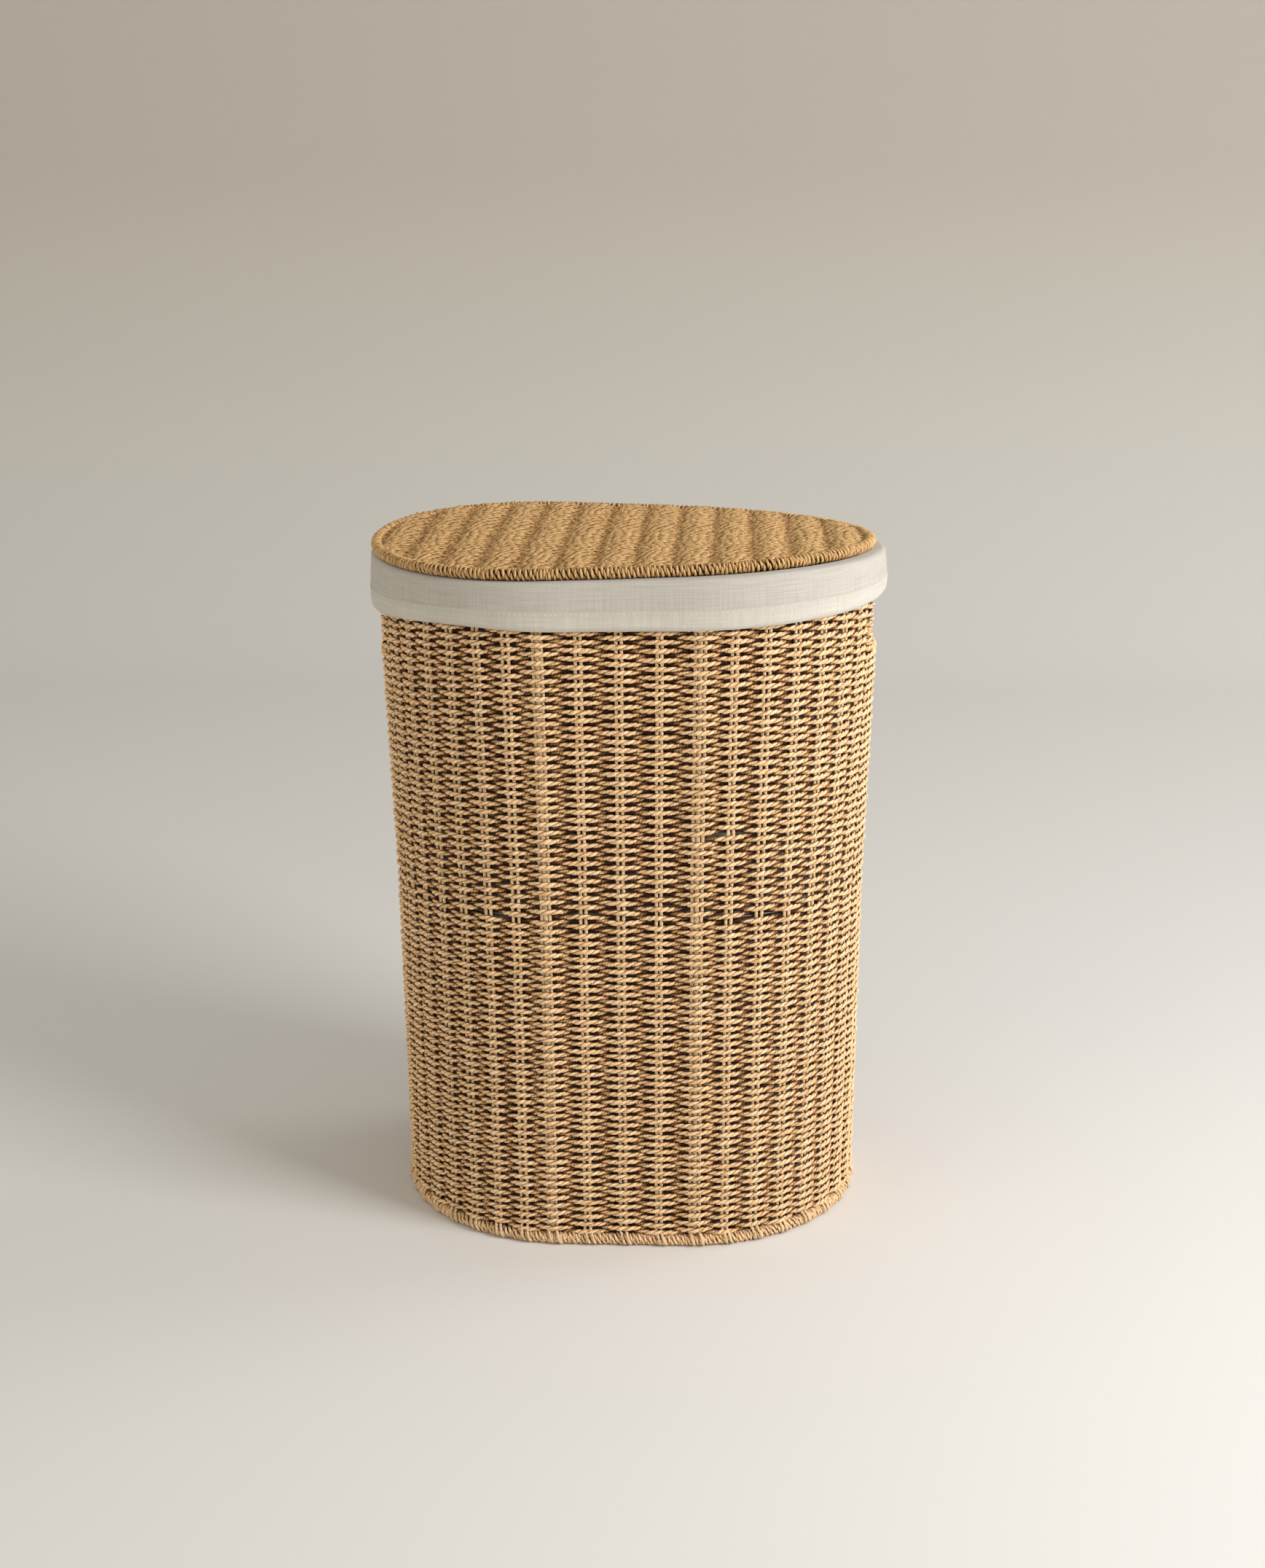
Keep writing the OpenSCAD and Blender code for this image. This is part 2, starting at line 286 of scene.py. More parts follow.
def rope_piece(
    name, lines, material, ply_r=PLY_R, lay_r=LAY_R, pitch=LAY_PITCH, sides=6, plies=2, crumpled=0.06,
):
    """One mesh of twisted rope. Each line is (points, across, upward, length along, thickness, keep,
    how far it stands off across). The relief layer says how far each point stands proud in the
    direction that it faces, over 6 mm, and how deep it lies in the groove between the plies; the
    paper finish paints shade from it."""
    points, quads, quad_uv, caps, cap_uv, relief, used = [], [], [], [], [], [], 0
    turn = math.pi + 2 * math.pi * np.arange(sides) / sides
    for number, (centre, across, upward, length, thick, keep, off) in enumerate(lines):
        lay = 2 * math.pi * length / pitch + 2.4 * number
        lay = lay + 0.9 * smooth_noise(length * 9, (1, 2.7, 5.3), number + 5)
        for ply in range(plies):
            angle = lay + 2 * math.pi * ply / plies
            out = np.cos(angle)[:, None] * across + np.sin(angle)[:, None] * upward
            side = -np.sin(angle)[:, None] * across + np.cos(angle)[:, None] * upward
            middle = centre + (lay_r * thick)[:, None] * out
            crumple = np.stack([
                smooth_noise(length * 38 + 0.37 * k, (1, 2.3, 4.1), 31 * number + ply + 7 * k)
                for k in range(sides)
            ], 1)
            swollen = (ply_r * thick)[:, None] * (1 + crumpled * crumple)
            rings = tube_rings(middle, out, side, swollen, sides, math.pi)
            faces, uv, cap, cuv = tube_parts(rings, length, 7 * number + 3 * ply, keep)
            facing = np.cos(angle[:, None] + turn)
            stand = (off + lay_r * thick * np.cos(angle))[:, None] + ply_r * thick[:, None] * facing
            groove = np.broadcast_to(0.5 - 0.5 * np.cos(turn) if plies > 1 else 0 * turn, facing.shape)
            relief.append(np.stack([stand * facing / RELIEF_DEPTH, groove], 2).reshape(-1, 2))
            points.append(rings.reshape(-1, 3))
            quads.append(faces + used)
            quad_uv.append(uv.reshape(-1, 2))
            caps.append(cap + used)
            cap_uv.append(cuv.reshape(-1, 2))
            used += rings.shape[0] * sides
    return add_mesh(
        name, np.concatenate(points), [np.concatenate(quads), np.concatenate(caps)], material,
        np.concatenate(quad_uv + cap_uv), "rope", np.concatenate(relief),
    )


# Paper rope finish: rolled kraft paper, creased along each ply, with darker fibres and flecks, a soft
# satin face and paler or browner lengths, and painted shade where it dives or lies in a groove.
def new_group(name, *masks):
    """An empty node group that takes a place on the surface and puts out the named masks; returns it,
    the socket of the place and the output node."""
    group = bpy.data.node_groups.new(name, "ShaderNodeTree")
    group.interface.new_socket("Place", in_out="INPUT", socket_type="NodeSocketVector")
    for mask in masks:
        group.interface.new_socket(mask, in_out="OUTPUT", socket_type="NodeSocketFloat")
    place = add_node(group, "NodeGroupInput").outputs["Place"]
    return group, place, add_node(group, "NodeGroupOutput")


def stretched_noise(tree, place, scale, detail, roughness=0.5, **settings):
    """The socket of noise whose grain is one over scale wide in each direction."""
    mapped = add_node(tree, "ShaderNodeMapping", {"Vector": place, "Scale": scale})
    values = {"Vector": mapped.outputs[0], "Scale": 1.0, "Detail": detail, "Roughness": roughness}
    return add_node(tree, "ShaderNodeTexNoise", values, **settings).outputs["Fac"]


def add_bump(tree, shader, height, strength, distance):
    values = {"Height": height, "Strength": strength, "Distance": distance}
    bump = add_node(tree, "ShaderNodeBump", values)
    tree.links.new(bump.outputs["Normal"], shader.inputs["Normal"])


creases, place, outof = new_group("paper creases", "Tone", "Flecks", "Creases")
crease = stretched_noise(creases, place, (170, 9, 1), 3.0, 0.6, noise_dimensions="2D")
tone = stretched_noise(creases, place, (22, 0.9, 1), 2.0, noise_dimensions="2D")
fibre = stretched_noise(creases, place, (700, 14, 1), 1.0, noise_dimensions="2D")
flecks = spread(creases, fibre, 0.62, 0.74)
for source, label in ((tone, "Tone"), (flecks, "Flecks"), (crease, "Creases")):
    creases.links.new(source, outof.inputs[label])


def paper_material(name, dark, light, brown, dark_from, dark_to, deep=(0.06, 0.036, 0.021)):
    """Paper rope in one colour: crease lines dark, faces light, browner lengths and flecks. Painted shade
    darkens it and makes it richer, towards the deep colour, where it dives between its neighbours, from
    standing dark_to proud down to dark_from, and in the groove between the plies."""
    material, tree, shader = new_material(name)
    place = add_node(tree, "ShaderNodeUVMap", uv_map="rope")
    paper = add_node(tree, "ShaderNodeGroup", node_tree=creases)
    tree.links.new(place.outputs["UV"], paper.inputs["Place"])
    creased = paper.outputs["Creases"]
    base = mix_colours(tree, spread(tree, creased, 0.36, 0.60), dark, light)
    browner = spread(tree, paper.outputs["Tone"], 0.50, 0.75, 0.0, 0.55)
    aged = mix_colours(tree, browner, base, brown)
    fleck_brown = (brown[0] * 0.55, brown[1] * 0.42, brown[2] * 0.35)
    spotted = mix_colours(tree, calculate(tree, "MULTIPLY", paper.outputs["Flecks"], 0.45), aged, fleck_brown)
    layer = add_node(tree, "ShaderNodeUVMap", uv_map="relief")
    relief = add_node(tree, "ShaderNodeSeparateXYZ", {"Vector": layer.outputs["UV"]})
    between = spread(
        tree, relief.outputs["X"], dark_from, dark_to, 1.0, 0.0, interpolation_type="SMOOTHSTEP")
    groove = spread(tree, relief.outputs["Y"], 0.45, 0.68, 0.0, 0.60)
    # Painted shade from the relief layer: darker and richer where the rope lies deep or in a groove.
    painted_shade = calculate(tree, "MAXIMUM", between, groove)
    shade_gamma = calculate(tree, "ADD", painted_shade, 1.0)
    shade_saturated = add_node(tree, "ShaderNodeGamma", {"Color": spotted, "Gamma": shade_gamma})
    shaded = mix_colours(tree, painted_shade, shade_saturated.outputs["Color"], deep, blend_type="MULTIPLY")
    tree.links.new(shaded, shader.inputs["Base Color"])
    tree.links.new(spread(tree, creased, 0.3, 0.7, 0.72, 0.5), shader.inputs["Roughness"])
    add_bump(tree, shader, creased, 0.28, 0.0004)
    shader.inputs["Specular IOR Level"].default_value = 0.25
    return material


wall_paper = paper_material(
    "wall paper rope", (0.70, 0.42, 0.19), (0.97, 0.72, 0.46), (0.68, 0.39, 0.165), -0.01, 0.31)


def row_heights(first, last, count, wide=0.0):
    """Heights of a stack of rows; with wide, the lowest third stands a little further apart."""
    steps = 1 + wide * np.clip(1 - np.arange(count - 1) / (count / 3), 0, 1)
    places = np.concatenate([[0], np.cumsum(steps)])
    return first + (last - first) * places / places[-1]


lower_rows = row_heights(0.0128, 0.3021, 82)
upper_rows = row_heights(0.3083, 0.5790, 74, 0.12)
loose_z = upper_rows[18:20].mean()
RINGS_PER_ROW = 480


def uneven_rows(z, whole, share, front, weave):
    """Row heights as a hand leaves them: a slow wander, a loose patch at the right of the front, and
    rows that part at the middle hoop or close over it."""
    z = z + 0.00030 * smooth_noise(whole, (3.37, 7.73, 13.19, 23.4), 3)
    ripple = 0.0005 * np.sin(z * 90 + 9 * np.sin(2 * math.pi * share))
    z = z + 0.00055 * smooth_noise(share, (2, 3, 5), 4) * np.sin(z * 31) + ripple
    loose = (z - loose_z) / 0.006
    reach = front * 4 * (SPINE + 0.158 * math.pi / 2)
    patch = np.exp(-((reach - 0.084) / 0.026) ** 2)
    z = z + 0.0016 * patch * np.tanh(loose * 3) * np.exp(-(loose / 3) ** 2)
    parted = np.exp(-((front + 0.093) / 0.028) ** 2) + np.exp(-((front - 0.106) / 0.032) ** 2)
    round_the_back = np.clip(np.abs(front) * 8 - 1.6, 0, 1)
    parted = np.clip(parted + round_the_back * (0.5 + 0.5 * smooth_noise(share, (7, 11), 9)), 0, 1)
    beside = np.sign(z - HOOP_Z) * np.exp(-(np.maximum(np.abs(z - HOOP_Z) - 0.003, 0) / 0.006) ** 2)
    return z + beside * (0.0006 * parted - 0.0016 * (1 - parted) * (1 - weave ** 2))


def wall_line(rows, first_row, start, stop):
    """The rope's path over rows start to stop of a stack, as rope_piece takes it."""
    turns = np.arange(start * RINGS_PER_ROW, stop * RINGS_PER_ROW + 1) / RINGS_PER_ROW
    share = (turns + 0.5) % 1.0
    front = (share + 0.5) % 1.0 - 0.5
    row = np.minimum(np.floor(turns + 1e-9).astype(int), len(rows) - 1)
    later = rows[np.minimum(row + 1, len(rows) - 1)]
    step = np.clip((turns - row - 0.955) / 0.045, 0, 1)
    z = rows[row] + (later - rows[row]) * step * step * (3 - 2 * step)
    whole = first_row + turns
    seat = np.interp(share, np.append(stake_shares, 1.0), np.arange(stake_count + 1))
    weave = np.cos(math.pi * (seat + stake_count * (row + first_row + (share < 0.5))))
    z = uneven_rows(z, whole, share, front, weave)
    crease_lift = sum(
        0.0011 * np.exp(-((share - p) / 0.0085) ** 2) - 0.0007 * np.exp(-((share - p + q) / 0.013) ** 2)
        for p in POSTS for q in (-0.024, 0.024)
    )
    off = WEAVE_DEPTH * weave - WEAVE_INSET + crease_lift * 0.5
    off = off + 0.0004 * smooth_noise(whole, (5.1, 11.3, 19.7), 6)
    x, y, nx, ny = oval(share, wall_radius(z))
    out = np.stack([nx, ny, np.zeros_like(nx)], 1)
    centre = np.stack([x, y, z], 1) + off[:, None] * out
    run = unit(np.gradient(centre, axis=0))
    upward = np.cross(out, run)
    upward = unit(upward * np.sign(upward[:, 2:3]))
    across = np.cross(run, upward)
    across *= np.sign(np.sum(across * out, 1))[:, None]
    length = gone_along(centre) + 1.25 * whole[0]
    thick = 0.83 + 0.18 * weave ** 2 + 0.05 * smooth_noise(whole, (9.1, 17.7, 31.3), 8)
    past_side = np.abs(y) - (HOLE_HALF - HOLE_CORNER)
    past_level = np.abs(z - (HOLE_LOW + HOLE_HIGH) / 2) - ((HOLE_HIGH - HOLE_LOW) / 2 - HOLE_CORNER)
    outside = np.hypot(np.maximum(past_side, 0), np.maximum(past_level, 0))
    outside = outside + np.minimum(np.maximum(past_side, past_level), 0)
    keep = (outside > HOLE_CORNER) | (np.abs(x) < ENDS_FROM)
    return centre, across, upward, length, thick, keep, off


for node_name, rows, first_row, cuts in (
    ("wall_weave_lower", lower_rows, 0, (0, 14, 28, 42, 55, 68, 82)),
    ("wall_weave_upper", upper_rows, 82, (0, 13, 26, 38, 50, 62, 74)),
):
    for part, (start, stop) in enumerate(zip(cuts, cuts[1:])):
        line = wall_line(rows, first_row, start, stop)
        piece = rope_piece(f"{node_name}_rows_{part + 1}", [line], wall_paper)
        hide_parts(node_name)
        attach(piece, "basket")

# Stakes: two or three thin hard-twisted paper cords stand side by side at every stake, pale where they
# show between the rows, and turn over the base ring at the bottom.
STRAND_R, STRAND_PITCH, POST_SPREAD = 0.00148, 0.009, 1.6
# The cords darken with painted shade at their sides, where they face their neighbours.
stake_paper = paper_material(
    "stake paper cord", (0.72, 0.50, 0.27), (0.90, 0.69, 0.44), (0.74, 0.50, 0.27), -0.3, 0.12)
heights = np.concatenate([np.arange(0.0165, 0.5815, 0.0085), [0.5815]])
hem_path = np.array([
    (0.0142, 0.0012), (0.0122, 0.0032), (0.0096, 0.0050), (0.0066, 0.0057), (0.0040, 0.0053), (0.0022, 0.0036),
])
z = np.concatenate([hem_path[::-1, 0], heights])
depth = np.concatenate([hem_path[::-1, 1], 0 * heights])
lean = np.concatenate([0.0045 * np.linspace(1, 0, len(hem_path)), 0 * heights])
rng = np.random.default_rng(11)
lines = []
for number, share in enumerate(stake_shares):
    count = 3 if rng.random() < 0.07 else 2
    spacing = rng.uniform(0.0020, 0.0026)
    post = min(abs(share - p) for p in POSTS) < 1e-6
    for strand in range(count):
        sideways = (strand - (count - 1) / 2) * (2 if count == 2 else 1.3) * spacing
        sideways = sideways * (POST_SPREAD if post else 1)
        drift = 0.0005 * smooth_noise(z * 14 + number, (1, 2.1, 3.7), 40 + number * 3 + strand)
        x, y, nx, ny = oval(share, wall_radius(np.maximum(z, RING_Z)))
        middle = np.stack([x + nx * depth, y + ny * depth, z], 1)
        tangent = np.stack([-ny, nx, np.zeros_like(nx)], 1)
        middle = middle + tangent * (sideways + drift + lean)[:, None]
        upward = np.cross(unit(np.gradient(middle, axis=0)), tangent)
        inside = (np.abs(y) < HOLE_HALF) & (z > HOLE_LOW) & (z < HOLE_HIGH) & (np.abs(x) > ENDS_FROM)
        lines.append((middle, tangent, upward, gone_along(middle), np.ones(len(z)), ~inside, 0.0))
stakes = rope_piece("stake_strands", lines, stake_paper, STRAND_R, 0.0, STRAND_PITCH, 6, 1)
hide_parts("stake_cords")
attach(stakes, "basket")


# Base ring, rim ring and lid ring: the same rope wound tightly round a thick steel wire, turn beside
# turn, so that the wire is hidden. The rim's winding lies under the liner's cuff.
def square_to_run(centre, radial):
    """Two directions across a wound line: the radial one made square to the line, and the third."""
    run = unit(np.gradient(centre, axis=0))
    across = unit(radial - np.sum(radial * run, 1)[:, None] * run)
    return across, np.cross(run, across)


def wound_ring(
    name, node_name, body, path, material, pitch, samples, wind_r, ply_r, lay_r, lay_pitch, starts=1, sides=6,
):
    """Rope wound round a closed path, as one or more strands side by side. path(share) gives the middle
    and the outward direction; pitch is from turn to turn of the same strand."""
    fine = np.linspace(0, 1, 4001)
    middle, out = path(fine)
    around = gone_along(middle)
    turns = round(around[-1] / pitch)
    t = np.arange(turns * samples + 1) / (turns * samples)
    wander = 0.16 / turns * np.sin(2 * math.pi * t * turns * 0.13)
    wander = wander + 0.12 / turns * smooth_noise(t * turns, (0.31, 0.17), 2)
    wander = wander - wander[0] * (1 - t) - wander[-1] * t
    middle, out = path(np.interp((t + wander) * around[-1], around, fine))
    rise = np.array([0.0, 0.0, 1.0])
    loose = wind_r * (1 + 0.05 * smooth_noise(t * turns, (0.9, 1.7, 2.9), 12))
    lines = []
    for start in range(starts):
        angle = -2 * math.pi * (t * turns + start / starts)
        radial = np.cos(angle)[:, None] * out + np.sin(angle)[:, None] * rise
        centre = middle + loose[:, None] * radial
        across, upward = square_to_run(centre, radial)
        length = gone_along(centre) + start * 3.3
        thick = 1 + 0.06 * smooth_noise(length * 30, (1, 2.3, 3.1), 14)
        lines.append((centre, across, upward, length, thick, None, loose))
    piece = rope_piece(name, lines, material, ply_r, lay_r, lay_pitch, sides)
    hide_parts(node_name)
    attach(piece, body)
    return piece


LID_SHIFT, LID_R, LID_Z = -0.004, 0.1625, 0.6008
WARP, WARP_LIFT, WARP_AT = 0.003, 0.0023, (0.15, 0.12)


def unbent(points):
    return points


def lid_warp(points):
    """The lid has dried a little out of true: two opposite corners sit high and one end is narrower."""
    x, y = points[:, 0] - LID_SHIFT, points[:, 1]
    lift = WARP_LIFT - WARP * x * y / (WARP_AT[0] * WARP_AT[1])
    narrower = np.where(x > 0, 0.06, 0.015) * x / 0.222
    return np.stack([points[:, 0], y * (1 - narrower), points[:, 2] + lift], 1)


def ring_path(radius, z, shift=0.0, bent=unbent):
    """A path round the oval at one height, as wound_ring takes it."""
    def path(share):
        x, y, nx, ny = oval(share, radius)
        return bent(np.stack([x + shift, y, np.full_like(x, z)], 1)), np.stack([nx, ny, np.zeros_like(nx)], 1)
    return path


# Painted shade: the lid's rope is a darker, browner copy of the wall's rope, for the light that only grazes
# the lid's top.
lid_paper_shaded = paper_material(
    "lid paper rope", (0.49, 0.29, 0.118), (0.745, 0.48, 0.222), (0.51, 0.30, 0.125), -0.12, 0.40)
lid_edge = ring_path(LID_R, LID_Z, LID_SHIFT, lid_warp)
wound_ring(
    "base_ring_winding", "base_ring_wrap", "basket", ring_path(BASE_R, RING_Z), wall_paper,
    pitch=0.0168, samples=18, wind_r=0.0037, ply_r=0.0015, lay_r=0.0005, lay_pitch=0.016, starts=4, sides=5)
wound_ring(
    "rim_winding", "rim_wrap", "basket", ring_path(RIM_R, RIM_Z), wall_paper,
    pitch=0.0044, samples=12, wind_r=0.0037, ply_r=0.0015, lay_r=0.0006, lay_pitch=0.022, sides=5)
wound_ring(
    "lid_ring_winding", "lid_ring_wrap", "lid", lid_edge, lid_paper_shaded,
    pitch=0.0082, samples=18, wind_r=0.0033, ply_r=0.0014, lay_r=0.0006, lay_pitch=0.016, starts=2)


# Lid and base panels: straight rows of the same rope from end to end, over and under the wires that
# cross from front to back.
def panel_line(number, y0, radius, z, shift, wire_gap, depth, step, seed, bent):
    """One row of a panel, as rope_piece takes it."""
    half = SPINE + math.sqrt(radius ** 2 - y0 ** 2)
    x = np.linspace(-half, half, max(int(2 * half / step), 8))
    wave = np.cos(math.pi * (x / wire_gap + number))
    t = x * 5 + number * 3.7
    y = y0 + 0.00035 * smooth_noise(t, (1.1, 2.3, 4.9), seed) + 0.0006 * np.sin(x * 21 + y0 * 9)
    off = depth * wave + 0.0003 * smooth_noise(t, (1.7, 3.1), seed + 1)
    centre = bent(np.stack([x + shift, y, z + off], 1))
    run = unit(np.gradient(centre, axis=0))
    upward = unit(np.cross(np.array([0.0, 0.0, 1.0]), run))
    across = np.cross(run, upward)
    across *= np.sign(across[:, 2:3])
    length = gone_along(centre) + number * 0.5
    thick = 0.82 + 0.18 * wave ** 2 + 0.06 * smooth_noise(t, (2.1, 5.7, 9.1), seed + 2)
    return centre, across, upward, length, thick, None, off


def woven_panel(
    name, node_name, body, material, radius, z, shift, wire_gap, row_gap, depth, step, sides, parts, seed,
    bent=unbent,
):
    """An oval panel of rows side by side, in one or more pieces."""
    count = int(2 * (radius - 0.002) / row_gap)
    places = (np.arange(count) - (count - 1) / 2) * row_gap
    for part, numbers in enumerate(np.array_split(np.arange(count), parts)):
        lines = [
            panel_line(number, places[number], radius, z, shift, wire_gap, depth, step, seed, bent)
            for number in numbers
        ]
        piece = rope_piece(f"{name}_rows_{part + 1}", lines, material, sides=sides)
        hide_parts(node_name)
        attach(piece, body)


LID_WIRE_GAP, BASE_WIRE_GAP = 0.032, 0.034
woven_panel(
    "lid_panel", "lid_weave", "lid", lid_paper_shaded, LID_R + 0.0012, LID_Z + 0.0004, LID_SHIFT, LID_WIRE_GAP,
    row_gap=0.00365, depth=0.0027, step=0.0021, sides=5, parts=2, seed=50, bent=lid_warp)
woven_panel(
    "base_panel", "base_weave", "basket", wall_paper, BASE_R - 0.0045, 0.0064, 0.0, BASE_WIRE_GAP,
    row_gap=0.0040, depth=0.0024, step=0.0028, sides=4, parts=1, seed=60)

# Hand hole edges: rope wound round the end stakes and along the rows above and below each hole.
HOLE_WIND_R, HOLE_PITCH = 0.0028, 0.0062


def hole_path(share, side):
    """The line round a hand hole with rounded corners, on the wall's end; side is 1 or -1."""
    a = np.linspace(0, math.pi / 2, 13)
    cx, cz = HOLE_HALF - HOLE_CORNER, (HOLE_HIGH - HOLE_LOW) / 2 - HOLE_CORNER
    quarter = np.stack([cx + HOLE_CORNER * np.sin(a), cz + HOLE_CORNER * np.cos(a)], 1)
    loop = np.concatenate([
        quarter, quarter[::-1] * (1, -1), quarter * (-1, -1), quarter[::-1] * (-1, 1), quarter[:1],
    ])
    gone = gone_along(loop)
    at = share * gone[-1]
    along, up = np.interp(at, gone, loop[:, 0]), np.interp(at, gone, loop[:, 1])
    z = (HOLE_LOW + HOLE_HIGH) / 2 + up
    radius = wall_radius(z)
    turn = along / radius
    out = np.stack([np.cos(turn) * side, np.sin(turn), np.zeros_like(turn)], 1)
    return np.stack([(SPINE + radius * np.cos(turn)) * side, radius * np.sin(turn), z], 1), out


for side, name, node_name in (
    (1, "hand_hole_winding_right", "hand_hole_binding_right"),
    (-1, "hand_hole_winding_left", "hand_hole_binding_left"),
):
    fine = np.linspace(0, 1, 2001)
    around = gone_along(hole_path(fine, side)[0])
    turns = round(around[-1] / HOLE_PITCH)
    t = np.arange(turns * 18 + 1) / (turns * 18)
    middle, out = hole_path(np.interp(t * around[-1], around, fine), side)
    aside = np.cross(unit(np.gradient(middle, axis=0)), out)
    angle = 2 * math.pi * t * turns
    radial = np.cos(angle)[:, None] * out + np.sin(angle)[:, None] * aside
    centre = middle + HOLE_WIND_R * radial
    across, upward = square_to_run(centre, radial)
    line = (centre, across, upward, gone_along(centre), np.ones(len(t)), None, HOLE_WIND_R)
    piece = rope_piece(name, [line], wall_paper, 0.0015, 0.0008)
    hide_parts(node_name)
    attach(piece, "basket")


# Frame wires: drawn mild steel, dull and slightly scratched, with a thin clear lacquer, in a colour painted
# dark as shade for wire deep in the weave. They are the imported parts themselves and keep their shape.
def refinish(node_name, material):
    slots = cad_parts[node_name].data.materials
    slots.clear()
    slots.append(material)


wire_steel, tree, shader = new_material("frame wire steel")
where = add_node(tree, "ShaderNodeTexCoord")
scratch = stretched_noise(tree, where.outputs["Object"], (60, 60, 900), 4.0)
# Painted shade: the steel is kept very dark, for wire that little light reaches.
steel_painted_dark = mix_colours(tree, scratch, (0.07, 0.060, 0.052), (0.20, 0.185, 0.17))
tree.links.new(steel_painted_dark, shader.inputs["Base Color"])
tree.links.new(spread(tree, scratch, 0.0, 1.0, 0.35, 0.6), shader.inputs["Roughness"])
shader.inputs["Metallic"].default_value = 1.0
add_bump(tree, shader, scratch, 0.2, 0.0002)
for name in ("base_ring_wire", "base_cross_wires", "mid_hoop_wire", "rim_wire"):
    refinish(name, wire_steel)

# Corner posts: four steel rods bound in a spiral of kraft paper tape, so that they match the stakes.
post_tape, tree, shader = new_material("corner post paper tape")
where = add_node(tree, "ShaderNodeTexCoord")
apart = add_node(tree, "ShaderNodeSeparateXYZ", {"Vector": where.outputs["Object"]})
spiral = calculate(tree, "MULTIPLY_ADD", apart.outputs["X"], 0.9, apart.outputs["Z"])
edge = spread(tree, calculate(tree, "PINGPONG", spiral, 0.0065), 0.0, 0.0009)
fibre = stretched_noise(tree, where.outputs["Object"], (500, 500, 60), 3.0)
tape = mix_colours(tree, fibre, (0.50, 0.32, 0.16), (0.84, 0.62, 0.38))
lapped = mix_colours(tree, edge, (0.30, 0.165, 0.07), tape)
tree.links.new(lapped, shader.inputs["Base Color"])
add_bump(tree, shader, edge, 0.5, 0.0003)
tree.links.new(spread(tree, fibre, 0.0, 1.0, 0.75, 0.5), shader.inputs["Roughness"])
refinish("corner_posts", post_tape)

# The lid's steel ring and its 13 cross wires, of the same drawn wire, follow the lid's slight warp.
share = np.linspace(0, 1, 361)
middle, out = lid_edge(share)
rise = np.tile([0.0, 0.0, 1.0], (len(share), 1))
ring_lines = [(middle, out, rise, gone_along(middle), np.ones(len(share)), None, 0.0)]
cross_lines = []
for number in range(-6, 7):
    x = number * LID_WIRE_GAP
    half = math.sqrt((LID_R - 0.006) ** 2 - max(abs(x) + 0.0015 - SPINE, 0) ** 2)
    y = np.linspace(-half, half, 41)
    middle = lid_warp(np.stack([np.full_like(y, x + LID_SHIFT), y, np.full_like(y, LID_Z)], 1))
    rise = np.tile([0.0, 0.0, 1.0], (len(y), 1))
    aside = np.tile([1.0, 0.0, 0.0], (len(y), 1))
    cross_lines.append((middle, aside, rise, y - y[0], np.ones(len(y)), None, 0.0))
for name, node_name, lines, radius in (
    ("lid_ring_steel", "lid_ring_wire", ring_lines, 0.002),
    ("lid_cross_steel", "lid_cross_wires", cross_lines, 0.0015),
):
    piece = rope_piece(name, lines, wire_steel, radius, 0.0, 0.5, 12, 1, 0.0)
    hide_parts(node_name)
    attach(piece, "lid")

# Liner: a washable bag of plain-woven unbleached linen and cotton. One tube of cloth stands inside the
# wall, folds over the rim and hangs outside as a cuff; an oval bottom is sewn to it.
THREAD_GAP = 0.0011
linen, place, outof = new_group("linen weave", "Weave", "Slubs")
apart = add_node(linen, "ShaderNodeSeparateXYZ", {"Vector": place})
warp, weft = (
    calculate(linen, "SINE", calculate(linen, "MULTIPLY", apart.outputs[axis], 2 * math.pi / THREAD_GAP))
    for axis in ("X", "Y")
)
weave = calculate(linen, "MULTIPLY_ADD", calculate(linen, "MULTIPLY", warp, weft), 0.5, 0.5)
slubs = [
    stretched_noise(linen, place, scale, 2.0, noise_dimensions="2D") for scale in ((25, 900, 1), (900, 25, 1))
]
linen.links.new(weave, outof.inputs["Weave"])
linen.links.new(calculate(linen, "MULTIPLY", calculate(linen, "ADD", *slubs), 0.5), outof.inputs["Slubs"])


def cloth_material(name, dark, light, fade_to=None):
    """Linen in one shade, with thick and thin threads; fade_to is a shade that it goes over to from
    10.5 to 17.5 mm above the lower edge."""
    material, tree, shader = new_material(name)
    place = add_node(tree, "ShaderNodeUVMap", uv_map="cloth")
    cloth = add_node(tree, "ShaderNodeGroup", node_tree=linen)
    tree.links.new(place.outputs["UV"], cloth.inputs["Place"])
    threads = calculate(tree, "MULTIPLY_ADD", cloth.outputs["Weave"], 0.35, cloth.outputs["Slubs"])
    base = mix_colours(tree, spread(tree, threads, 0.42, 0.90), dark, light)
    if fade_to:
        apart = add_node(tree, "ShaderNodeSeparateXYZ", {"Vector": place.outputs["UV"]})
        base = mix_colours(tree, spread(tree, apart.outputs["Y"], 0.0105, 0.0175), base, fade_to)
    tree.links.new(base, shader.inputs["Base Color"])
    add_bump(tree, shader, threads, 0.5, 0.0003)
    shader.inputs["Roughness"].default_value = 0.88
    shader.inputs["Specular IOR Level"].default_value = 0.2
    shader.inputs["Sheen Weight"].default_value = 0.15
    shader.inputs["Sheen Roughness"].default_value = 0.5
    return material


liner_linen = cloth_material("liner linen", (0.385, 0.358, 0.312), (0.515, 0.49, 0.447))
CUFF_LOW, CUFF_TOP, CUFF_R, CLOTH = 0.557, 0.5942, 0.1716, 0.0008
LINER_GAP, LINER_LOW, FOLD_Z, FOLD_R = 0.0086, 0.0121, 0.5905, 0.004
RIM_FROM, CUFF_FROM = 0.575, 0.60


def thicken(piece, thickness, offset):
    body = piece.modifiers.new("cloth thickness", "SOLIDIFY")
    body.thickness = thickness
    body.offset = offset


def liner_radius(z):
    return float(wall_radius(np.array(z))) - LINER_GAP


